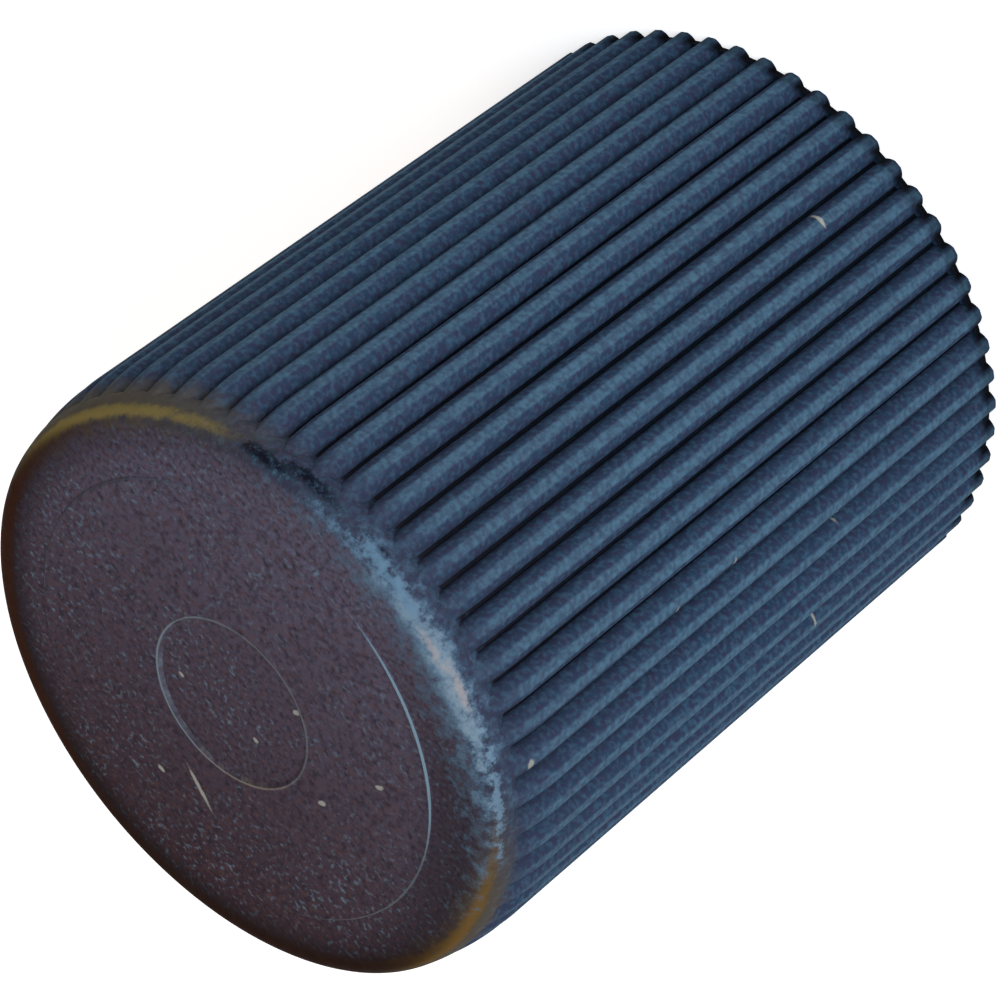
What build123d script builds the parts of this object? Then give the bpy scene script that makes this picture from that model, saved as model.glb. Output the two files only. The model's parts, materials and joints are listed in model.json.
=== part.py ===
from build123d import *
from math import cos, degrees, radians, sin, sqrt
import os

os.makedirs("parts", exist_ok=True)

# A screw-on protection cap, moulded in one piece. Millimetres.
# It stands on its mouth: the origin is the centre of the mouth, +Z runs up the
# axis to the closed end.

# Outside
outer_diameter = 17.0  # over the ribs
cap_height = 21.2  # mouth plane to the raised disc of the end face
crown_radius = 6.2  # the wall leans in on this radius toward the closed end
crown_angle = 18.0  # lean of the wall where the rim's rounding takes over
rim_radius = 0.5  # rounding from the leaning wall on to the end face

# Ribs, which are what stands between the grooves
rib_count = 58
rib_land = 0.22  # part of a rib's top that stays on the outer cylinder
groove_depth = 0.45  # from the rib tops to the floor of a groove
groove_floor = 0.1  # flat along the bottom of a groove
flank_bulge = 0.08  # how far a rib's flank swells past a straight slope
plain_band = 0.3  # smooth wall between the rim's rounding and the grooves
run_out_length = 0.55  # over which a groove's floor rises to the wall's surface
web_depth = 0.2  # from the rib tops to the thin web that closes a groove at the mouth
web_height = 0.2  # of that web, from the mouth plane up

# End face
plateau_radius = 6.33  # a low raised disc
plateau_height = 0.08
dimple_radius = 2.44  # a shallow round recess in the middle of the disc
dimple_depth = 0.08

# Bore: a plain mouth, the threaded length at the bottom diameter of its M12
# thread, then the blind end at the diameter over the thread's crests
lead_in_diameter = 12.4
lead_in_depth = 1.6
thread_diameter = 12.0
thread_length = 12.0
bore_diameter = 10.8
end_wall = 2.5  # bottom of the bore to the raised disc

cutter_reach = 0.5  # how far a cutter stands past the surface that it cuts

outer_radius = outer_diameter / 2
lead_in_radius = lead_in_diameter / 2
thread_radius = thread_diameter / 2
bore_radius = bore_diameter / 2
thread_top = lead_in_depth + thread_length
bore_top = cap_height - end_wall

# Heights and radii along the rounded end of the wall, from the top down
crown_lean = radians(crown_angle)
rim_top = cap_height - plateau_height
join_height = rim_top - rim_radius * (1 - sin(crown_lean))
join_radius = outer_radius - crown_radius * (1 - cos(crown_lean))
rim_inner_radius = join_radius - rim_radius * cos(crown_lean)
crown_start = join_height - crown_radius * sin(crown_lean)

# One groove: a slot along +X with swelling flanks, as wide as the space between
# two lands. A cone takes off its upper end, so its floor rises to the surface, and
# a ring takes off the foot of its lower end, which leaves the web.
land_angle = degrees(rib_land / outer_radius)
groove_half_angle = radians(360 / rib_count - land_angle) / 2
shoulder_x = outer_radius * cos(groove_half_angle)
shoulder_y = outer_radius * sin(groove_half_angle)
floor_x = outer_radius - groove_depth
floor_y = groove_floor / 2
slot_x = outer_radius + cutter_reach

run_out_top = join_height - plain_band
run_out_start = run_out_top - run_out_length
crown_rise = run_out_top - crown_start
run_out_radius = outer_radius - crown_radius + sqrt(crown_radius**2 - crown_rise**2)
run_out_slope = run_out_length / (run_out_radius - floor_x)
cone_inner_x = floor_x - cutter_reach
cone_inner_z = run_out_start - run_out_slope * cutter_reach
cone_outer_z = run_out_start + run_out_slope * (slot_x - floor_x)
web_x = outer_radius - web_depth

with BuildPart() as groove_cutter:
    with BuildSketch(Plane.XY.offset(-cutter_reach)):
        with BuildLine():
            SagittaArc((floor_x, floor_y), (shoulder_x, shoulder_y), -flank_bulge)
            Polyline(
                (shoulder_x, shoulder_y),
                (slot_x, shoulder_y),
                (slot_x, -shoulder_y),
                (shoulder_x, -shoulder_y),
            )
            SagittaArc((shoulder_x, -shoulder_y), (floor_x, -floor_y), -flank_bulge)
            Line((floor_x, -floor_y), (floor_x, floor_y))
        make_face()
    extrude(amount=cap_height + cutter_reach)
    with BuildSketch(Plane.XZ):
        with BuildLine():
            Polyline(
                (cone_inner_x, cone_inner_z),
                (slot_x, cone_outer_z),
                (cone_inner_x, cone_outer_z),
                close=True,
            )
        make_face()
    revolve(axis=Axis.Z, mode=Mode.SUBTRACT)
    with BuildSketch(Plane.XZ):
        with BuildLine():
            Polyline(
                (cone_inner_x, -2 * cutter_reach),
                (web_x, -2 * cutter_reach),
                (web_x, web_height),
                (cone_inner_x, web_height),
                close=True,
            )
        make_face()
    revolve(axis=Axis.Z, mode=Mode.SUBTRACT)

# The cap: a turned form with a rounded rim and a stepped end face, bored from
# below, then grooved all round.
with BuildPart() as cap:
    with BuildSketch(Plane.XZ):
        with BuildLine():
            Polyline(
                (0, bore_top),
                (bore_radius, bore_top),
                (bore_radius, thread_top),
                (thread_radius, thread_top),
                (thread_radius, lead_in_depth),
                (lead_in_radius, lead_in_depth),
                (lead_in_radius, 0),
                (outer_radius, 0),
                (outer_radius, crown_start),
            )
            RadiusArc(
                (outer_radius, crown_start),
                (join_radius, join_height),
                -crown_radius,
            )
            RadiusArc(
                (join_radius, join_height),
                (rim_inner_radius, rim_top),
                -rim_radius,
            )
            Polyline(
                (rim_inner_radius, rim_top),
                (plateau_radius + plateau_height, rim_top),
                (plateau_radius, cap_height),
                (dimple_radius, cap_height),
                (dimple_radius - dimple_depth, cap_height - dimple_depth),
                (0, cap_height - dimple_depth),
                (0, bore_top),
            )
        make_face()
    revolve(axis=Axis.Z)
    with PolarLocations(0, rib_count):
        add(groove_cutter.part, mode=Mode.SUBTRACT)

cap.part.label = "cap"
export_step(cap.part, "parts/cap.step")
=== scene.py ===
"""A screw-on protection cap of dark moulded plastic, dressed over its solid.

The cap is one moulding. Its shell is modelled again from the same sizes as the
solid, with rounded ribs, and the ridge of its thread is laid in the bore.
"""

from __future__ import annotations

import json
import logging
import math
from dataclasses import dataclass
from enum import Enum

import bmesh
import bpy
from mathutils import Euler, Matrix, Vector

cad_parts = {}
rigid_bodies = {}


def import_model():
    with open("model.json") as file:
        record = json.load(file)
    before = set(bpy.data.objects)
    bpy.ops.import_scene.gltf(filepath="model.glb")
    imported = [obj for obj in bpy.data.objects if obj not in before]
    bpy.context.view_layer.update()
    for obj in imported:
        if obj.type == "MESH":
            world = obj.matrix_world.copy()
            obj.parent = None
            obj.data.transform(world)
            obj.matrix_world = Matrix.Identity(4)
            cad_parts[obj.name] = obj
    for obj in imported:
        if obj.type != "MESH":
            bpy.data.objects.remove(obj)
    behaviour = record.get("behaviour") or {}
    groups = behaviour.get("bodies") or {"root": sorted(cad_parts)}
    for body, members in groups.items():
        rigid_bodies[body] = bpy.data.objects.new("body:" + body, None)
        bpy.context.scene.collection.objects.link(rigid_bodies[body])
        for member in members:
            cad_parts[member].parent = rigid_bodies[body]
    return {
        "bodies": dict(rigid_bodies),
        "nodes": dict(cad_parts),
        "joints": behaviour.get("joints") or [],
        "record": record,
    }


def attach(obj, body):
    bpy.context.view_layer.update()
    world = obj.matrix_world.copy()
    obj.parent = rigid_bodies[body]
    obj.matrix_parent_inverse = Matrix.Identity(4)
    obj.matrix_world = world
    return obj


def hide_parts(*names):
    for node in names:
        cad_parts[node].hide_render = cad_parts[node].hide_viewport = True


LOG = logging.getLogger("screw_cap")
MM = 0.001

# The end face outside its raised disc, in millimetres
FACE_HEIGHT = 21.12
FACE_EDGE_RADIUS = 7.72

SMOOTH = {"interpolation_type": "SMOOTHSTEP"}
COLOURS = {"data_type": "RGBA"}
# A colour mix's inputs and its result have no names of their own
MIX_SHARE, MIX_UNDER, MIX_OVER = 0, 6, 7
MIX_RESULT = 2

# What a colour input takes: one colour all over, or the socket that feeds it
Shade = tuple[float, float, float, float] | bpy.types.NodeSocket


def linear(colour: str) -> tuple[float, float, float, float]:
    """Turns an sRGB hex colour to linear light.

    Args:
        colour: six hex digits after a hash.

    Returns:
        Red, green, blue and a full alpha.
    """
    parts = [int(colour[i : i + 2], 16) / 255 for i in (1, 3, 5)]
    red, green, blue = (
        p / 12.92 if p <= 0.04045 else ((p + 0.055) / 1.055) ** 2.4 for p in parts
    )
    return (red, green, blue, 1.0)


def add(
    tree: bpy.types.NodeTree,
    kind: str,
    settings: dict[str, object],
    inputs: dict[str | int, object],
) -> bpy.types.Node:
    """Adds a node, sets its settings and fills or links its inputs.

    Args:
        tree: the material's or world's node tree.
        kind: the node's type name, without its ShaderNode prefix.
        settings: attributes of the node.
        inputs: input name or number to a value, or to the socket that feeds it.

    Returns:
        The new node.
    """
    node = tree.nodes.new("ShaderNode" + kind)
    for name, value in settings.items():
        setattr(node, name, value)
    for key, value in inputs.items():
        if isinstance(value, bpy.types.NodeSocket):
            tree.links.new(value, node.inputs[key])
        else:
            node.inputs[key].default_value = value
    return node


@dataclass
class RibbedShell:
    """The moulded body: ribbed wall, crown, rim, end face and bore.

    One rib's strip is drawn from the end of the bore round the mouth and up over
    the outside to the middle of the end face, then copied round the axis.
    Sizes are millimetres and the origin is the middle of the mouth.
    """

    outer_radius: float = 8.5
    height: float = 21.2
    crown_radius: float = 6.2
    crown_angle: float = 18.0
    rim_radius: float = 0.5
    ribs: int = 58
    rib_land: float = 0.22
    groove_depth: float = 0.45
    groove_floor: float = 0.1
    flank_bulge: float = 0.08
    plain_band: float = 0.3
    run_out: float = 0.85
    web_depth: float = 0.2
    web_height: float = 0.2
    plateau_radius: float = 6.33
    plateau_height: float = 0.08
    dimple_radius: float = 2.44
    dimple_depth: float = 0.08
    lead_in_radius: float = 6.2
    lead_in_depth: float = 1.6
    thread_radius: float = 6.0
    thread_top: float = 13.6
    bore_radius: float = 5.4
    bore_top: float = 18.7
    land_steps: int = 2
    flank_steps: int = 6
    floor_steps: int = 2
    wall_steps: int = 6
    run_out_steps: int = 8
    rim_steps: int = 8
    flank_halvings: int = 40
    merge_distance: float = 0.0008
    sharp_angle: float = 32.0

    def pitch(self) -> float:
        """The angle from one rib to the next, in radians."""
        return 2 * math.pi / self.ribs

    def columns(self) -> int:
        """How many strips of faces one rib's pitch is cut into."""
        return 2 * (self.land_steps + self.flank_steps + self.floor_steps)

    def flank(self) -> tuple[float, float, float, float, float]:
        """The arc of a groove's flank.

        Returns:
            Centre x, centre y, radius, and the arc's angles at the foot and shoulder.
        """
        half = self.pitch() / 2 - self.rib_land / self.outer_radius / 2
        foot = Vector((self.outer_radius - self.groove_depth, self.groove_floor / 2))
        shoulder = Vector((math.cos(half), math.sin(half))) * self.outer_radius
        chord = shoulder - foot
        radius = (chord.length**2 / 4 + self.flank_bulge**2) / (2 * self.flank_bulge)
        inward = Vector((-chord.y, chord.x)).normalized()
        centre = (foot + shoulder) / 2 + inward * (radius - self.flank_bulge)
        foot_angle = math.atan2(foot.y - centre.y, foot.x - centre.x)
        end_angle = math.atan2(shoulder.y - centre.y, shoulder.x - centre.x)
        return centre.x, centre.y, radius, foot_angle, end_angle

    def flank_at(self, distance: float) -> float:
        """Where the flank's arc stands at a distance from the cap's axis.

        Args:
            distance: millimetres from the axis.

        Returns:
            The angle along the flank's own arc, in radians.
        """
        x, y, radius, low, high = self.flank()
        for _ in range(self.flank_halvings):
            middle = (low + high) / 2
            reach = math.hypot(
                x + radius * math.cos(middle), y + radius * math.sin(middle)
            )
            if reach < distance:
                low = middle
            else:
                high = middle
        return (low + high) / 2

    def section(self, wall: float, depth: float) -> list[tuple[float, float]]:
        """One pitch of the ribbed wall at one height.

        Args:
            wall: radius of the wall's surface there.
            depth: how far the groove's floor lies under that surface.

        Returns:
            An angle and a radius for each column, from land to land.
        """
        x, y, radius, _, _ = self.flank()
        foot = self.flank_at(self.outer_radius - depth)
        shoulder = self.flank_at(self.outer_radius)
        lean_in = self.outer_radius - wall
        half: list[tuple[float, float]] = []
        for step in range(self.flank_steps + 1):
            turn = foot + (shoulder - foot) * step / self.flank_steps
            px, py = x + radius * math.cos(turn), y + radius * math.sin(turn)
            half.append((math.atan2(py, px), math.hypot(px, py) - lean_in))
        floor_edge, land_edge = half[0][0], half[-1][0]
        floors = [
            (floor_edge * step / self.floor_steps, wall - depth)
            for step in range(self.floor_steps)
        ]
        lands = [
            (
                land_edge
                + (self.pitch() / 2 - land_edge) * (step + 1) / self.land_steps,
                wall,
            )
            for step in range(self.land_steps)
        ]
        right = floors + half + lands
        left = [(-angle, reach) for angle, reach in reversed(right[1:])]
        return left + right

    def plain(self, radius: float) -> list[tuple[float, float]]:
        """One pitch of a smooth round wall, as evenly spaced angles and radii."""
        count = self.columns()
        return [((i / count - 0.5) * self.pitch(), radius) for i in range(count + 1)]

    def crown_start(self) -> float:
        """Works out where the wall begins to lean in.

        Returns:
            Millimetres above the mouth.
        """
        lean = math.radians(self.crown_angle)
        rim = self.rim_radius * (1 - math.sin(lean))
        crown = self.crown_radius * math.sin(lean)
        return self.height - self.plateau_height - rim - crown

    def wall(self, height: float) -> float:
        """The radius over the ribs, up to the rim's rounding.

        Args:
            height: millimetres above the mouth.

        Returns:
            Millimetres from the axis.
        """
        rise = max(height - self.crown_start(), 0.0)
        sag = self.crown_radius - math.sqrt(self.crown_radius**2 - rise**2)
        return self.outer_radius - sag

    def rows(self) -> list[tuple[float, list[tuple[float, float]]]]:
        """The rows of one rib's strip, from the end of the bore to the end face.

        Returns:
            A height and the row's columns for each row.
        """
        lean = math.radians(self.crown_angle)
        rim_top = self.height - self.plateau_height
        join_z = rim_top - self.rim_radius * (1 - math.sin(lean))
        join_r = self.outer_radius - self.crown_radius * (1 - math.cos(lean))
        crown_z = self.crown_start()
        ends_z = join_z - self.plain_band
        starts_z = ends_z - self.run_out
        bore = [
            (self.bore_radius, self.bore_top),
            (self.bore_radius, self.thread_top),
            (self.thread_radius, self.thread_top),
            (self.thread_radius, self.lead_in_depth),
            (self.lead_in_radius, self.lead_in_depth),
            (self.lead_in_radius, 0.0),
        ]
        rows = [(z, self.plain(r)) for r, z in bore]
        ribbed = [
            (0.0, self.web_depth),
            (self.web_height, self.web_depth),
            (self.web_height, self.groove_depth),
            (crown_z, self.groove_depth),
        ]
        for step in range(1, self.wall_steps + 1):
            height = crown_z + (starts_z - crown_z) * step / self.wall_steps
            ribbed.append((height, self.groove_depth))
        for step in range(1, self.run_out_steps + 1):
            rise = (1 - math.cos(math.pi * step / self.run_out_steps)) / 2
            height = starts_z + self.run_out * step / self.run_out_steps
            ribbed.append((height, self.groove_depth * (1 - rise)))
        rows += [(z, self.section(self.wall(z), depth)) for z, depth in ribbed]
        last = [angle for angle, _ in rows[-1][1]]
        middle = ends_z + self.plain_band / 2
        outside = [(self.wall(middle), middle)]
        for step in range(self.rim_steps + 1):
            turn = lean + (math.pi / 2 - lean) * step / self.rim_steps
            outside.append(
                (
                    join_r + self.rim_radius * (math.cos(turn) - math.cos(lean)),
                    join_z + self.rim_radius * (math.sin(turn) - math.sin(lean)),
                )
            )
        edge = self.plateau_radius + self.plateau_height
        outside += [
            (edge, rim_top),
            (self.plateau_radius, self.height),
            (self.dimple_radius, self.height),
            (self.dimple_radius - self.dimple_depth, self.height - self.dimple_depth),
            (0.0, self.height - self.dimple_depth),
        ]
        rows += [(z, [(angle, r) for angle in last]) for r, z in outside]
        return rows

    def build(self) -> bpy.types.Object:
        """Models one rib's strip, copies it round and closes the shell.

        Returns:
            The finished shell.
        """
        bpy.ops.object.select_all(action="DESELECT")
        bpy.ops.mesh.primitive_circle_add(
            vertices=self.columns() * self.ribs,
            radius=self.outer_radius * MM,
            enter_editmode=True,
        )
        obj = bpy.context.active_object
        obj.name = "cap_shell"
        mesh = bmesh.from_edit_mesh(obj.data)
        # half a pitch to each side, and a hair more to keep the verts at its ends
        reach = self.pitch() / 2 * 1.001
        for vert in mesh.verts:
            vert.select = abs(math.atan2(vert.co.y, vert.co.x)) > reach
        mesh.select_flush_mode()
        bpy.ops.mesh.delete(type="VERT")
        bpy.ops.mesh.select_all(action="SELECT")
        rows = self.rows()
        self.place_row(obj, *rows[0])
        for height, columns in rows[1:]:
            bpy.ops.mesh.extrude_region_move()
            self.place_row(obj, height, columns)
        bpy.ops.mesh.select_all(action="SELECT")
        bpy.ops.mesh.spin(
            steps=self.ribs - 1,
            dupli=True,
            angle=self.pitch() * (self.ribs - 1),
            center=(0, 0, 0),
            axis=(0, 0, 1),
        )
        bpy.ops.mesh.select_all(action="SELECT")
        bpy.ops.mesh.remove_doubles(threshold=self.merge_distance * MM)
        self.close_bore(obj)
        bpy.ops.mesh.select_all(action="SELECT")
        bpy.ops.mesh.normals_make_consistent(inside=False)
        bpy.ops.object.mode_set(mode="OBJECT")
        bpy.ops.object.shade_smooth_by_angle(angle=math.radians(self.sharp_angle))
        self.mark_depth(obj)
        return obj

    def place_row(
        self,
        obj: bpy.types.Object,
        height: float,
        columns: list[tuple[float, float]],
    ) -> None:
        """Moves the selected row to its place, one column at a time.

        Args:
            obj: the shell, in edit mode, with only that row selected.
            height: millimetres above the mouth.
            columns: the angle and radius of each vertex, in millimetres.
        """
        mesh = bmesh.from_edit_mesh(obj.data)
        row = [v for v in mesh.verts if v.select]
        row.sort(key=lambda v: math.atan2(v.co.y, v.co.x))
        numbers = [v.index for v in row]
        bpy.ops.mesh.select_all(action="DESELECT")
        for number, (angle, radius) in zip(numbers, columns, strict=True):
            mesh = bmesh.from_edit_mesh(obj.data)
            mesh.verts.ensure_lookup_table()
            vert = mesh.verts[number]
            place = Vector(
                (radius * math.cos(angle), radius * math.sin(angle), height)
            )
            vert.select = True
            bpy.ops.transform.translate(value=place * MM - vert.co)
            mesh = bmesh.from_edit_mesh(obj.data)
            mesh.verts.ensure_lookup_table()
            mesh.verts[number].select = False
        for number in numbers:
            mesh.verts[number].select = True
        mesh.select_flush_mode()

    def mark_depth(self, obj: bpy.types.Object) -> None:
        """Keeps each point's depth under the rib tops, for the finish to follow.

        Args:
            obj: the shell.
        """
        depths: list[float] = []
        top = self.height - self.plateau_height - self.rim_radius - self.plain_band
        # nothing inside this radius belongs to the ribbed wall
        bore_side = self.thread_radius + 1.0
        for vert in obj.data.vertices:
            radius = math.hypot(vert.co.x, vert.co.y) / MM
            height = vert.co.z / MM
            ribbed = radius > bore_side and height < top
            depths.append(self.wall(height) - radius if ribbed else 0.0)
        layer = obj.data.attributes.new("groove_depth", "FLOAT", "POINT")
        layer.data.foreach_set("value", depths)

    def close_bore(self, obj: bpy.types.Object) -> None:
        """Closes the round end of the bore with one flat face.

        Args:
            obj: the shell, in edit mode.
        """
        bpy.ops.mesh.select_all(action="DESELECT")
        mesh = bmesh.from_edit_mesh(obj.data)
        for edge in mesh.edges:
            edge.select = edge.is_boundary
        mesh.select_flush_mode()
        bpy.ops.mesh.edge_face_add()


@dataclass
class ThreadRidge:
    """The right-handed ridge of the thread in the bore, an M12 x 1.5.

    Sizes are millimetres. The ridge is let into the wall a little, so that it
    reads as one moulding with it.
    """

    pitch: float = 1.5
    low: float = 1.75
    high: float = 13.45
    root_radius: float = 6.03
    crest_radius: float = 5.4
    root_width: float = 1.15
    crest_width: float = 0.35
    steps_per_turn: int = 72
    sharp_angle: float = 25.0

    def build(self) -> bpy.types.Object:
        """Draws the ridge's section and turns it up the bore.

        Returns:
            The finished ridge.
        """
        bpy.ops.object.select_all(action="DESELECT")
        middle = (self.root_radius + self.crest_radius) / 2
        depth = self.root_radius - self.crest_radius
        bpy.ops.mesh.primitive_plane_add(size=1, location=(0, 0, 0), enter_editmode=True)
        obj = bpy.context.active_object
        obj.name = "thread_ridge"
        bpy.ops.transform.resize(value=(depth * MM, self.root_width * MM, 1))
        mesh = bmesh.from_edit_mesh(obj.data)
        bpy.ops.mesh.select_all(action="DESELECT")
        for vert in mesh.verts:
            vert.select = vert.co.x < 0
        mesh.select_flush_mode()
        bpy.ops.transform.resize(value=(1, self.crest_width / self.root_width, 1))
        bpy.ops.mesh.select_all(action="SELECT")
        bpy.ops.transform.rotate(
            value=-math.pi / 2,
            orient_axis="X",
            center_override=(0, 0, 0),
        )
        bpy.ops.transform.translate(
            value=(middle * MM, 0, (self.low + self.root_width / 2) * MM)
        )
        bpy.ops.mesh.delete(type="ONLY_FACE")
        bpy.ops.object.mode_set(mode="OBJECT")
        turns = (self.high - self.low - self.root_width) / self.pitch
        screw = obj.modifiers.new("turn", "SCREW")
        screw.axis = "Z"
        screw.angle = math.tau * turns
        screw.screw_offset = self.pitch * turns * MM
        screw.steps = round(self.steps_per_turn * turns)
        screw.render_steps = screw.steps
        screw.use_merge_vertices = False
        bpy.ops.object.modifier_apply(modifier=screw.name)
        bpy.ops.object.mode_set(mode="EDIT")
        bpy.ops.mesh.select_all(action="SELECT")
        bpy.ops.mesh.fill_holes(sides=0)
        bpy.ops.mesh.select_all(action="SELECT")
        bpy.ops.mesh.normals_make_consistent(inside=False)
        bpy.ops.object.mode_set(mode="OBJECT")
        bpy.ops.object.shade_smooth_by_angle(angle=math.radians(self.sharp_angle))
        return obj


class Surface(Enum):
    """Where a nick is."""

    WALL = "wall"
    END_FACE = "end_face"


@dataclass(frozen=True)
class Ramp:
    """How strongly a layer of the finish shows, from one reading to another."""

    start: float
    end: float
    at_start: float = 0.0
    at_end: float = 1.0

    def read(self, measure: bpy.types.NodeSocket) -> dict[str | int, object]:
        """The inputs, by number, of a range node that reads a measure."""
        return {0: measure, 1: self.start, 2: self.end, 3: self.at_start, 4: self.at_end}


@dataclass(frozen=True)
class Ground:
    """What the patterns of a finish are measured by, all in millimetres or degrees.

    The way over the rim, called drop, is nought at the outer edge of the end face,
    negative on the face, 0.8 at the foot of the rim's rounding and more down the
    wall. The three grains are uneven patterns that have nothing to do with one
    another.
    """

    tree: bpy.types.NodeTree
    place: bpy.types.NodeSocket
    height: bpy.types.NodeSocket
    azimuth: bpy.types.NodeSocket
    drop: bpy.types.NodeSocket
    grains: tuple[bpy.types.NodeSocket, ...]
    patch: bpy.types.NodeSocket
    cloud: bpy.types.NodeSocket

    @classmethod
    def on(
        cls, tree: bpy.types.NodeTree, grain: float, patch: float, cloud: float
    ) -> "Ground":
        """Lays the measures out in a material.

        Args:
            tree: the material's node tree.
            grain: size of the fine grain.
            patch: size of the ragged edges of the marks.
            cloud: size of the slow change in dust.

        Returns:
            The measures.
        """
        metres = add(tree, "TexCoord", {}, {}).outputs["Object"]
        place = add(
            tree, "VectorMath", {"operation": "SCALE"}, {0: metres, "Scale": 1 / MM}
        ).outputs[0]
        axes = add(tree, "SeparateXYZ", {}, {0: place})
        angle = add(
            tree, "Math", {"operation": "ARCTAN2"}, {0: axes.outputs[1], 1: axes.outputs[0]}
        )
        azimuth = add(tree, "Math", {"operation": "DEGREES"}, {0: angle.outputs[0]})
        flat = add(tree, "VectorMath", {"operation": "MULTIPLY"}, {0: place, 1: (1, 1, 0)})
        radius = add(tree, "VectorMath", {"operation": "LENGTH"}, {0: flat.outputs[0]})
        down = add(
            tree, "Math", {"operation": "SUBTRACT"}, {0: radius.outputs[1], 1: axes.outputs[2]}
        )
        drop = add(tree, "Math", {}, {0: down.outputs[0], 1: FACE_HEIGHT - FACE_EDGE_RADIUS})
        fine = add(
            tree, "TexNoise", {}, {"Vector": place, "Scale": 1 / grain, "Detail": 2.0}
        )
        split = add(tree, "SeparateColor", {}, {0: fine.outputs["Color"]})
        ragged = add(
            tree,
            "TexNoise",
            {},
            {"Vector": place, "Scale": 1 / patch, "Detail": 4.0, "Roughness": 0.72},
        )
        slow = add(
            tree, "TexNoise", {}, {"Vector": place, "Scale": 1 / cloud, "Detail": 3.0}
        )
        return cls(
            tree,
            place,
            axes.outputs[2],
            azimuth.outputs[0],
            drop.outputs[0],
            (split.outputs[0], split.outputs[1], split.outputs[2]),
            ragged.outputs["Fac"],
            slow.outputs["Fac"],
        )


@dataclass(frozen=True)
class Oval:
    """Dirt, wear, painted shade, painted highlights and painted reflections: each a
    mark on a stretch of the rim or the end face, with a ragged edge.

    It is an oval on the surface rolled out flat, where the way round the cap is
    measured in degrees of azimuth and the way over the rim in millimetres. Reach
    and width are half the oval's length and width, and slant is how far down the
    wall it goes in millimetres for each degree.
    """

    colour: str
    azimuth: float
    reach: float
    drop: float
    width: float
    strength: float = 1.0
    slant: float = 0.0
    ragged: float = 1.0
    soft: float = 0.35

    def over(self, ground: Ground, under: Shade) -> Shade:
        """Lays the mark over the finish so far.

        Args:
            ground: what it is measured by.
            under: the finish so far.

        Returns:
            The finish with the mark on it.
        """
        tree = ground.tree
        off = add(
            tree, "Math", {"operation": "SUBTRACT"}, {0: ground.azimuth, 1: self.azimuth}
        )
        turn = add(
            tree, "Math", {"operation": "WRAP"}, {0: off.outputs[0], 1: 180, 2: -180}
        ).outputs[0]
        along = add(tree, "Math", {"operation": "DIVIDE"}, {0: turn, 1: self.reach})
        level = add(
            tree, "Math", {"operation": "MULTIPLY_ADD"}, {0: turn, 1: -self.slant, 2: ground.drop}
        )
        across = add(
            tree,
            "Math",
            {"operation": "MULTIPLY_ADD"},
            {0: level.outputs[0], 1: 1 / self.width, 2: -self.drop / self.width},
        )
        flat = add(tree, "CombineXYZ", {}, {0: along.outputs[0], 1: across.outputs[0]})
        far = add(tree, "VectorMath", {"operation": "LENGTH"}, {0: flat.outputs[0]})
        edge = add(
            tree,
            "Math",
            {"operation": "MULTIPLY_ADD"},
            {0: ground.patch, 1: 2 * self.ragged, 2: far.outputs[1]},
        )
        middle = 1 + self.ragged
        fade = Ramp(middle - self.soft, middle + self.soft, self.strength, 0)
        shown = add(tree, "MapRange", SMOOTH, fade.read(edge.outputs[0]))
        return add(
            tree,
            "Mix",
            COLOURS,
            {MIX_SHARE: shown.outputs[0], MIX_UNDER: under, MIX_OVER: linear(self.colour)},
        ).outputs[MIX_RESULT]


@dataclass(frozen=True)
class Nick:
    """A small pale nick or scratch, with its place and size in millimetres.

    It is the part of a flat egg, as thick as given, that meets the surface, and it
    fades out past its edge.
    """

    surface: Surface
    place: tuple[float, float, float]
    length: float
    width: float
    lean: float = 0.0
    colour: str = "#92928b"
    thickness: float = 1.2
    fade: Ramp = Ramp(1.1, 1.8, 1, 0)

    def turn(self) -> Euler:
        """The nick's own axes: along it, across it and out of the surface.

        Returns:
            Their turn from the cap's axes.
        """
        lean = Matrix.Rotation(math.radians(self.lean), 3, "Z")
        if self.surface is Surface.END_FACE:
            return lean.to_euler()
        out = Vector((self.place[0], self.place[1], 0)).normalized()
        up = Vector((0, 0, 1))
        frame = Matrix((up.cross(out), up, out)).transposed()
        return (frame @ lean).to_euler()

    def over(self, ground: Ground, under: Shade) -> Shade:
        """Draws the nick as an oval with an unsteady edge.

        Args:
            ground: what it is measured by.
            under: the finish so far.

        Returns:
            The finish with the nick on it.
        """
        tree = ground.tree
        local = add(
            tree,
            "Mapping",
            {"vector_type": "TEXTURE"},
            {
                "Vector": ground.place,
                "Location": self.place,
                "Rotation": self.turn(),
                "Scale": (self.length / 2, self.width / 2, self.thickness / 2),
            },
        )
        far = add(tree, "VectorMath", {"operation": "LENGTH"}, {0: local.outputs[0]})
        edge = add(tree, "Math", {}, {0: far.outputs[1], 1: ground.grains[0]})
        shown = add(tree, "MapRange", SMOOTH, self.fade.read(edge.outputs[0]))
        return add(
            tree,
            "Mix",
            COLOURS,
            {MIX_SHARE: shown.outputs[0], MIX_UNDER: under, MIX_OVER: linear(self.colour)},
        ).outputs[MIX_RESULT]


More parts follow.
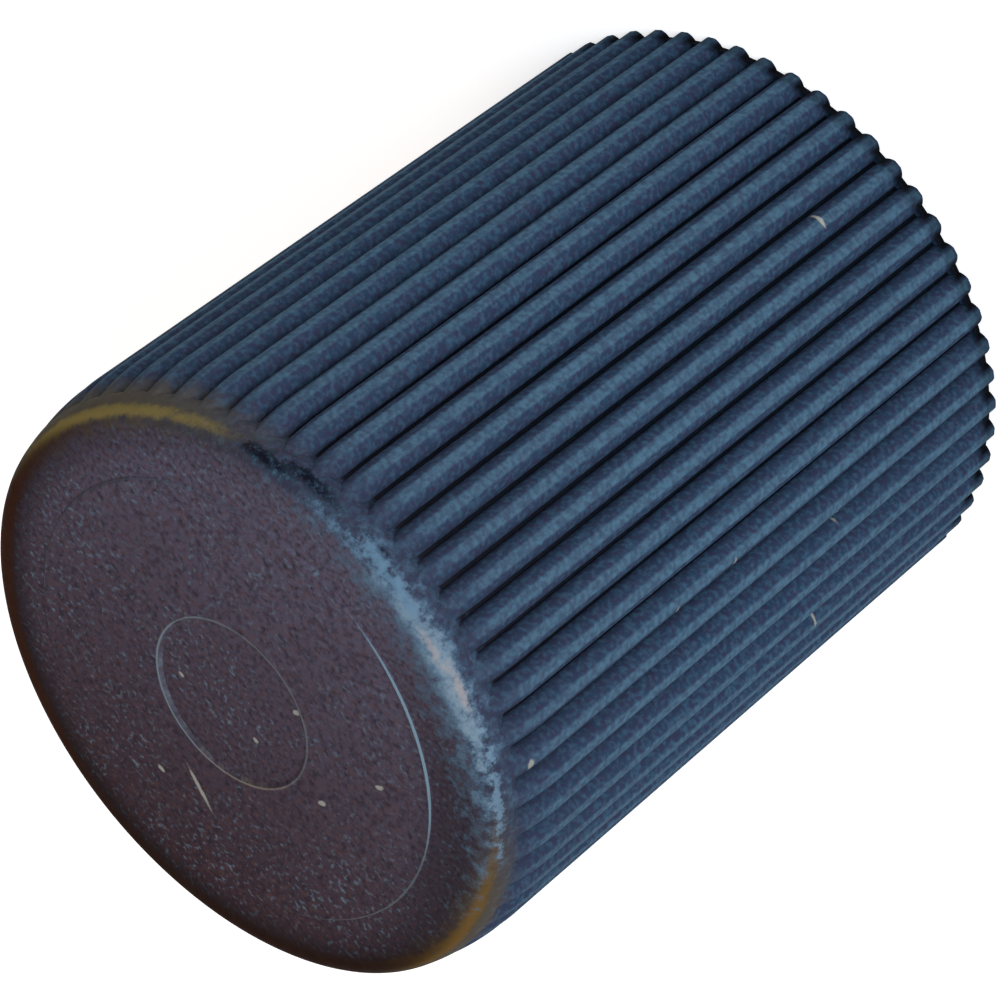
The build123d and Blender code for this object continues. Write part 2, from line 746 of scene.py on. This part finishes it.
@dataclass(frozen=True)
class MouldedPolymer:
    """Injection-moulded polypropylene, dark slate, matt from handling and dust.

    The eye gets a soft wide sheen and a fine dry grain of slate, violet and teal,
    with painted shade black in the grooves, the tops of the ribs paler from wear and a
    painted highlight, and a brown charcoal end face painted lighter and cooler on one
    side as if lit there and painted darker toward its far edge as shade. Its rim has a
    painted warm reflection on two sides and is rubbed pale on a third, and the edges
    of its raised disc and recess carry painted highlights.
    """

    slate: str = "#2a3e55"
    slate_violet: str = "#33374f"
    slate_teal: str = "#45697f"
    # painted shade: the near black of the groove bottoms and of the gaps between the ribs at the
    # mouth
    groove: str = "#020306"
    # the paler rib tops: wear with a painted highlight
    crest: str = "#587c90"
    veil: str = "#3c353f"
    face_warm: str = "#37292f"
    # painted light: the lighter, cooler side of the end face
    face_lit_cool: str = "#544f60"
    face_dark: str = "#211c25"
    face_brown: str = "#5a3f3c"
    face_speck: str = "#5f7383"
    # The sheen: wide and faint, and a little unsteady
    roughness: Ramp = Ramp(0.3, 0.7, 0.74, 0.9)
    specular: float = 0.06
    refraction: float = 1.49
    bump_share: float = 0.25
    bump_height: float = 0.02
    # The mould's own grain is about 0.03 mm, too fine to show, so it is drawn
    # coarser. The ragged edges of the marks and the clouds of dust are as wide as
    # on a handled cap.
    grain_mm: float = 0.15
    patch_mm: float = 0.35
    cloud_mm: float = 2.5
    # The moulding: how the two other slates follow the fine grain
    violet_grain: Ramp = Ramp(0.4, 0.62)
    teal_grain: Ramp = Ramp(0.44, 0.75, 0, 0.6)
    # Wear and a painted highlight on the rib tops: by the depth under them, by the grain,
    # down from the rim and up from the mouth
    wear_highlight_depth: Ramp = Ramp(-0.02, 0.04, 0.75, 0)
    wear_highlight_grain: Ramp = Ramp(0.25, 0.65, 0.35, 1)
    wear_highlight_drop: Ramp = Ramp(1.2, 3.2)
    wear_highlight_height: Ramp = Ramp(0.01, 0.1)
    # Painted shade: at the bottom of the grooves, and between the ribs near the mouth
    groove_shade_depth: Ramp = Ramp(0.36, 0.43, 0, 0.92)
    foot_shade_drop: Ramp = Ramp(21.15, 21.6)
    foot_shade_depth: Ramp = Ramp(0.01, 0.12, 0.45, 1)
    # The veil: thick by the rim, gone toward the middle of the wall
    veil_near: Ramp = Ramp(0.4, 2.6, 0.7, 0.2)
    veil_far: Ramp = Ramp(2.0, 9.0, 1, 0)
    veil_grain: Ramp = Ramp(0.3, 0.7, 0.55, 1)
    # The end face: from its warm side to its cool one, which is painted lighter as if lit from
    # that side, its grains and its specks
    face_lit_toward: tuple[float, float, float] = (0.34, -0.94, 0)
    face_light_across: Ramp = Ramp(-6.5, 7.0)
    dark_grain: Ramp = Ramp(0.42, 0.75, 0, 0.8)
    brown_grain: Ramp = Ramp(0.5, 0.7, 0, 0.4)
    speck_grain: Ramp = Ramp(0.56, 0.78, 0, 0.9)
    speck_cloud: Ramp = Ramp(0.4, 0.58, 0.25, 1)
    face_end: Ramp = Ramp(0.05, 0.4, 1, 0)
    ovals: tuple[Oval, ...] = (
        # painted shade: the end face grows darker toward its edge, away from the rubbed side
        Oval("#0a0506", 87, 115, 0.2, 0.8, 0.95, 0, 0.3, 0.8),
        Oval("#120c12", -148, 34, -0.75, 0.75, 0.5, 0, 0.6, 0.8),
        # painted warm reflection on the rim's rounding, with a thin veil of it on the wall
        Oval("#5e5338", -20, 34, 1.05, 0.85, 0.6, 0, 0.8, 0.7),
        Oval("#5f5335", -171, 28, 0.75, 0.7, 0.5, 0, 0.6, 0.6),
        Oval("#7d6e3f", -23, 29, 0.58, 0.23, 0.95, -0.008, 0.9, 0.6),
        Oval("#664d22", -175, 28, 0.42, 0.26, 0.85, 0.008, 0.9, 0.5),
        # a darker painted warm reflection round the rest of it
        Oval("#2a1306", 50, 62, 0.18, 0.42, 1.0, 0, 0.2, 0.4),
        Oval("#1c0b04", 125, 55, 0.18, 0.42, 1.0, 0, 0.2, 0.4),
        # navy smudges where the ribs end
        Oval("#070916", -63, 6.5, 0.74, 0.24, 0.95, 0.01, 2.2, 0.5),
        Oval("#070916", -72, 7.0, 1.0, 0.26, 0.95, 0.01, 2.2, 0.5),
        Oval("#0c0f20", -88, 4, 1.0, 0.12, 0.7, 0, 1.6, 0.35),
        # the rubbed stretch: a ragged pale blue, a bare core and warm spots in it
        Oval("#4a6378", -110, 30, 0.42, 0.7, 0.7, 0, 3.2, 0.9),
        Oval("#5d788c", -109, 20, 0.55, 0.4, 0.75, 0, 2.8, 0.8),
        Oval("#7e909b", -112, 13, 0.6, 0.24, 0.75, 0, 2.8, 0.9),
        Oval("#a39791", -115, 4, 0.7, 0.14, 0.6, 0, 2.0, 0.6),
        Oval("#a39791", -106, 3, 0.5, 0.12, 0.5, 0, 2.0, 0.6),
        Oval("#6e8a9d", -136, 9, 0.85, 0.14, 0.7, 0, 3.0, 0.5),
        Oval("#5d7c92", -92, 9, 0.66, 0.16, 0.7, 0, 2.6, 0.5),
        # a painted highlight on the edge of the raised disc
        Oval("#718a96", -128, 30, -1.42, 0.05, 0.95, 0, 0.3, 0.3),
        Oval("#5e686e", -183, 36, -1.42, 0.05, 0.6, 0, 0.8, 0.3),
        Oval("#5e686e", 60, 120, -1.42, 0.05, 0.3, 0, 1.2, 0.3),
        # a painted highlight on the edge of its recess
        Oval("#71808a", 52, 80, -5.32, 0.034, 0.9, 0, 0.5, 0.5),
        Oval("#7a7064", 137, 40, -5.32, 0.034, 0.7, 0, 0.8, 0.5),
        Oval("#666d73", -100, 95, -5.32, 0.034, 0.6, 0, 1.2, 0.5),
    )
    nicks: tuple[Nick, ...] = (
        Nick(Surface.WALL, (0.1, -8.5, 3.4), 0.5, 0.14, -6, "#a8a69b"),
        Nick(Surface.WALL, (-6.1, -5.9, 7.1), 0.5, 0.12, 8),
        Nick(Surface.WALL, (-4.7, -7.07, 14.3), 0.22, 0.12),
        Nick(Surface.WALL, (-5.4, -6.6, 13.7), 0.4, 0.1, -12),
        Nick(Surface.WALL, (-7.77, -3.4, 7.8), 0.5, 0.1),
        Nick(Surface.WALL, (-5.9, -6.1, 19.7), 0.3, 0.2),
        Nick(Surface.WALL, (-5.3, -6.65, 11.3), 0.3, 0.1),
        Nick(Surface.END_FACE, (1.40, 1.01, 21.12), 0.2, 0.12),
        Nick(Surface.END_FACE, (-1.07, 0.31, 21.12), 0.2, 0.14),
        Nick(Surface.END_FACE, (-1.25, -1.86, 21.12), 0.26, 0.16, 60),
        Nick(Surface.END_FACE, (-3.33, -0.30, 21.2), 0.24, 0.16, 60),
        Nick(Surface.END_FACE, (-3.97, -2.69, 21.2), 0.26, 0.14, 60),
        Nick(Surface.END_FACE, (0.03, 4.42, 21.2), 0.24, 0.14),
        Nick(Surface.END_FACE, (-1.0, 3.6, 21.2), 1.25, 0.14, 158),
    )

    def material(self) -> bpy.types.Material:
        """Builds the finish, from the plain moulding to the marks on it.

        Returns:
            The material.
        """
        finish = bpy.data.materials.new("moulded_polypropylene")
        finish.use_nodes = True
        tree = finish.node_tree
        tree.nodes.clear()
        ground = Ground.on(tree, self.grain_mm, self.patch_mm, self.cloud_mm)
        colour = self.ribs(ground, self.wall(ground))
        colour = self.end_face(ground, self.dust_veil(ground, colour))
        for mark in self.ovals + self.nicks:
            colour = mark.over(ground, colour)
        # the grain can be felt, and it breaks the sheen up
        rough = add(tree, "MapRange", {}, self.roughness.read(ground.patch))
        bump = add(
            tree,
            "Bump",
            {},
            {
                "Strength": self.bump_share,
                "Distance": self.bump_height * MM,
                "Height": ground.grains[1],
            },
        )
        shader = add(
            tree,
            "BsdfPrincipled",
            {},
            {
                "Base Color": colour,
                "Roughness": rough.outputs[0],
                "IOR": self.refraction,
                "Specular IOR Level": self.specular,
                "Normal": bump.outputs["Normal"],
            },
        )
        add(tree, "OutputMaterial", {}, {"Surface": shader.outputs["BSDF"]})
        return finish

    def wall(self, ground: Ground) -> Shade:
        """The plain moulding: slate with a grain of violet and of paler teal.

        Args:
            ground: what the pattern is measured by.

        Returns:
            The colour.
        """
        tree = ground.tree
        colour: Shade = linear(self.slate)
        for ramp, grain, shade in (
            (self.violet_grain, ground.grains[0], self.slate_violet),
            (self.teal_grain, ground.grains[1], self.slate_teal),
        ):
            share = add(tree, "MapRange", {}, ramp.read(grain))
            colour = add(
                tree,
                "Mix",
                COLOURS,
                {MIX_SHARE: share.outputs[0], MIX_UNDER: colour, MIX_OVER: linear(shade)},
            ).outputs[MIX_RESULT]
        return colour

    def ribs(self, ground: Ground, under: Shade) -> Shade:
        """Painted shade at the bottom of the grooves, and wear with a painted highlight
        along the tops of the ribs.

        Args:
            ground: what the pattern is measured by.
            under: the finish so far.

        Returns:
            The colour.
        """
        tree = ground.tree
        depth = add(tree, "Attribute", {"attribute_name": "groove_depth"}, {}).outputs["Fac"]
        # the paler rib tops: wear with a painted highlight on them
        top = add(tree, "MapRange", SMOOTH, self.wear_highlight_depth.read(depth))
        uneven = add(tree, "MapRange", {}, self.wear_highlight_grain.read(ground.grains[1]))
        body = add(tree, "MapRange", SMOOTH, self.wear_highlight_drop.read(ground.drop))
        above = add(tree, "MapRange", {}, self.wear_highlight_height.read(ground.height))
        reach = add(
            tree, "Math", {"operation": "MULTIPLY"}, {0: top.outputs[0], 1: uneven.outputs[0]}
        )
        length = add(
            tree, "Math", {"operation": "MULTIPLY"}, {0: body.outputs[0], 1: above.outputs[0]}
        )
        wear_and_highlight = add(
            tree, "Math", {"operation": "MULTIPLY"}, {0: reach.outputs[0], 1: length.outputs[0]}
        )
        # painted shade: black at the bottom of the grooves and between the ribs by the mouth
        low = add(tree, "MapRange", SMOOTH, self.groove_shade_depth.read(depth))
        foot = add(tree, "MapRange", SMOOTH, self.foot_shade_drop.read(ground.drop))
        between = add(tree, "MapRange", SMOOTH, self.foot_shade_depth.read(depth))
        between_ribs_shade = add(
            tree, "Math", {"operation": "MULTIPLY"}, {0: foot.outputs[0], 1: between.outputs[0]}
        )
        painted_shade = add(
            tree, "Math", {"operation": "MAXIMUM"}, {0: low.outputs[0], 1: between_ribs_shade.outputs[0]}
        )
        colour = under
        for share, shade in ((wear_and_highlight, self.crest), (painted_shade, self.groove)):
            colour = add(
                tree,
                "Mix",
                COLOURS,
                {MIX_SHARE: share.outputs[0], MIX_UNDER: colour, MIX_OVER: linear(shade)},
            ).outputs[MIX_RESULT]
        return colour

    def dust_veil(self, ground: Ground, under: Shade) -> Shade:
        """A brown veil of handling dirt that thickens toward the closed end.

        Args:
            ground: what the pattern is measured by.
            under: the finish so far.

        Returns:
            The colour.
        """
        tree = ground.tree
        near = add(tree, "MapRange", SMOOTH, self.veil_near.read(ground.drop))
        far = add(tree, "MapRange", {}, self.veil_far.read(ground.drop))
        uneven = add(tree, "MapRange", {}, self.veil_grain.read(ground.grains[2]))
        reach = add(
            tree, "Math", {"operation": "MULTIPLY"}, {0: near.outputs[0], 1: far.outputs[0]}
        )
        shown = add(
            tree, "Math", {"operation": "MULTIPLY"}, {0: reach.outputs[0], 1: uneven.outputs[0]}
        )
        return add(
            tree,
            "Mix",
            COLOURS,
            {MIX_SHARE: shown.outputs[0], MIX_UNDER: under, MIX_OVER: linear(self.veil)},
        ).outputs[MIX_RESULT]

    def end_face(self, ground: Ground, under: Shade) -> Shade:
        """The end face: brown charcoal, painted lighter and cooler on one side as if lit
        from there, with pale dusty specks.

        Args:
            ground: what the pattern is measured by.
            under: the finish so far.

        Returns:
            The colour.
        """
        tree = ground.tree
        # painted light: the end face lighter and cooler toward one side
        across = add(
            tree,
            "VectorMath",
            {"operation": "DOT_PRODUCT"},
            {0: ground.place, 1: self.face_lit_toward},
        )
        side = add(tree, "MapRange", {}, self.face_light_across.read(across.outputs[1]))
        dark = add(tree, "MapRange", {}, self.dark_grain.read(ground.grains[2]))
        brown = add(tree, "MapRange", {}, self.brown_grain.read(ground.grains[0]))
        few = add(tree, "MapRange", {}, self.speck_grain.read(ground.grains[1]))
        dusty = add(tree, "MapRange", {}, self.speck_cloud.read(ground.cloud))
        specks = add(
            tree, "Math", {"operation": "MULTIPLY"}, {0: few.outputs[0], 1: dusty.outputs[0]}
        )
        colour: Shade = linear(self.face_warm)
        for share, shade in (
            (side, self.face_lit_cool),
            (dark, self.face_dark),
            (brown, self.face_brown),
            (specks, self.face_speck),
        ):
            colour = add(
                tree,
                "Mix",
                COLOURS,
                {MIX_SHARE: share.outputs[0], MIX_UNDER: colour, MIX_OVER: linear(shade)},
            ).outputs[MIX_RESULT]
        on_face = add(tree, "MapRange", SMOOTH, self.face_end.read(ground.drop))
        return add(
            tree,
            "Mix",
            COLOURS,
            {MIX_SHARE: on_face.outputs[0], MIX_UNDER: under, MIX_OVER: colour},
        ).outputs[MIX_RESULT]


@dataclass(frozen=True)
class Lamp:
    """A square soft box that faces the cap."""

    name: str
    azimuth: float
    elevation: float
    distance: float
    size: float
    watts: float
    colour: str

    def build(self, target: Vector) -> None:
        """Sets the lamp up.

        Args:
            target: the point that it faces.
        """
        light = bpy.data.lights.new(self.name, "AREA")
        light.size = self.size
        light.energy = self.watts
        light.color = linear(self.colour)[:3]
        obj = bpy.data.objects.new(self.name, light)
        bpy.context.scene.collection.objects.link(obj)
        azimuth, elevation = math.radians(self.azimuth), math.radians(self.elevation)
        away = Vector(
            (
                math.cos(azimuth) * math.cos(elevation),
                math.sin(azimuth) * math.cos(elevation),
                math.sin(elevation),
            )
        )
        obj.location = target + away * self.distance
        obj.rotation_euler = away.to_track_quat("Z", "Y").to_euler()


@dataclass
class Studio:
    """The plain white floor and surround, the soft lamps and the camera.

    The floor and the surround look white, and what falls on the cap from them and
    from the lamps is set apart from that.
    """

    floor_size: float = 1.2
    floor_gap: float = 0.00002
    floor_white: float = 0.8
    floor_glow: float = 0.62
    world_level: float = 0.35
    world_colour: str = "#f2f5fa"
    aim_height: float = 0.011
    lens: float = 159.547
    sensor: float = 36.0
    near_clip: float = 0.001
    camera_place: tuple[float, float, float] = (-0.00498, -0.09203, 0.08149)
    camera_turn: tuple[float, float, float] = (-38.608, 38.757, -144.942)
    lamps: tuple[Lamp, ...] = (
        Lamp("front_box", -113, 32, 0.35, 0.20, 0.95, "#eef4ff"),
        Lamp("top_box", 110, 62, 0.30, 0.20, 0.22, "#ffe2c4"),
    )

    def build(self) -> None:
        """Lays the floor, then sets the surround, the lamps and the camera."""
        self.floor()
        self.surround()
        for lamp in self.lamps:
            lamp.build(Vector((0, 0, self.aim_height)))
        self.camera()

    def floor(self) -> None:
        """Lays a white floor under the mouth, which keeps the cap's shadow."""
        bpy.ops.object.select_all(action="DESELECT")
        bpy.ops.mesh.primitive_plane_add(
            size=self.floor_size,
            location=(0, 0, -self.floor_gap),
        )
        obj = bpy.context.active_object
        obj.name = "floor"
        finish = bpy.data.materials.new("white_paper")
        finish.use_nodes = True
        tree = finish.node_tree
        tree.nodes.clear()
        seen = self.seen(tree)
        white = (self.floor_white, self.floor_white, self.floor_white, 1)
        paper = add(tree, "BsdfDiffuse", {}, {"Color": white})
        level = add(tree, "Math", {"operation": "MULTIPLY"}, {0: seen, 1: self.floor_glow})
        glow = add(tree, "Emission", {}, {"Strength": level.outputs[0]})
        both = add(tree, "AddShader", {}, {0: paper.outputs["BSDF"], 1: glow.outputs[0]})
        add(tree, "OutputMaterial", {}, {"Surface": both.outputs[0]})
        obj.data.materials.append(finish)

    def seen(self, tree: bpy.types.NodeTree) -> bpy.types.NodeSocket:
        """Tells what the camera and clear reflections see from what lights the cap.

        Args:
            tree: the floor's or world's node tree.

        Returns:
            One for a camera, glossy or transmitted ray, and nought for the rest.
        """
        path = add(tree, "LightPath", {}, {})
        first = add(
            tree,
            "Math",
            {"operation": "MAXIMUM"},
            {0: path.outputs["Is Camera Ray"], 1: path.outputs["Is Glossy Ray"]},
        )
        both = add(
            tree,
            "Math",
            {"operation": "MAXIMUM"},
            {0: first.outputs[0], 1: path.outputs["Is Transmission Ray"]},
        )
        return both.outputs[0]

    def surround(self) -> None:
        """White where it is seen, and a plain even light elsewhere."""
        world = bpy.data.worlds.new("studio")
        world.use_nodes = True
        tree = world.node_tree
        tree.nodes.clear()
        seen = self.seen(tree)
        light = add(
            tree,
            "Background",
            {},
            {"Color": linear(self.world_colour), "Strength": self.world_level},
        )
        white = add(tree, "Background", {}, {"Color": (1, 1, 1, 1), "Strength": 1.0})
        both = add(
            tree,
            "MixShader",
            {},
            {0: seen, 1: light.outputs[0], 2: white.outputs[0]},
        )
        add(tree, "OutputWorld", {}, {"Surface": both.outputs[0]})
        bpy.context.scene.world = world

    def camera(self) -> None:
        """Puts the camera to the front, above the closed end."""
        lens = bpy.data.cameras.new("camera")
        lens.lens = self.lens
        lens.sensor_width = self.sensor
        lens.clip_start = self.near_clip
        obj = bpy.data.objects.new("camera", lens)
        bpy.context.scene.collection.objects.link(obj)
        obj.location = self.camera_place
        obj.rotation_euler = Euler([math.radians(a) for a in self.camera_turn])
        bpy.context.scene.camera = obj


@dataclass
class ScrewCap:
    """The whole cap: the moulded shell and the ridge of its thread."""

    shell: RibbedShell
    thread: ThreadRidge
    plastic: MouldedPolymer

    def build(self) -> list[bpy.types.Object]:
        """Builds both pieces, dresses them and ties them to the solid.

        Returns:
            The pieces.
        """
        finish = self.plastic.material()
        pieces = [self.shell.build(), self.thread.build()]
        for piece in pieces:
            piece.data.materials.clear()
            piece.data.materials.append(finish)
            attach(piece, "root")
        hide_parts("cap")
        return pieces


def main() -> None:
    """Builds the cap and the studio and reports the pieces."""
    logging.basicConfig(level=logging.INFO, format="%(name)s: %(message)s")
    bpy.ops.object.select_all(action="SELECT")
    bpy.ops.object.delete()
    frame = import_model()
    bpy.context.scene.view_settings.view_transform = "Standard"
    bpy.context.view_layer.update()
    pieces = ScrewCap(RibbedShell(), ThreadRidge(), MouldedPolymer()).build()
    for node in frame["nodes"].values():
        node.data.materials.clear()
        node.data.materials.append(pieces[0].active_material)
    for piece in pieces:
        faces = sum(len(face.vertices) - 2 for face in piece.data.polygons)
        LOG.info("%s: %d triangles", piece.name, faces)
    Studio().build()


if __name__ == "__main__":
    main()
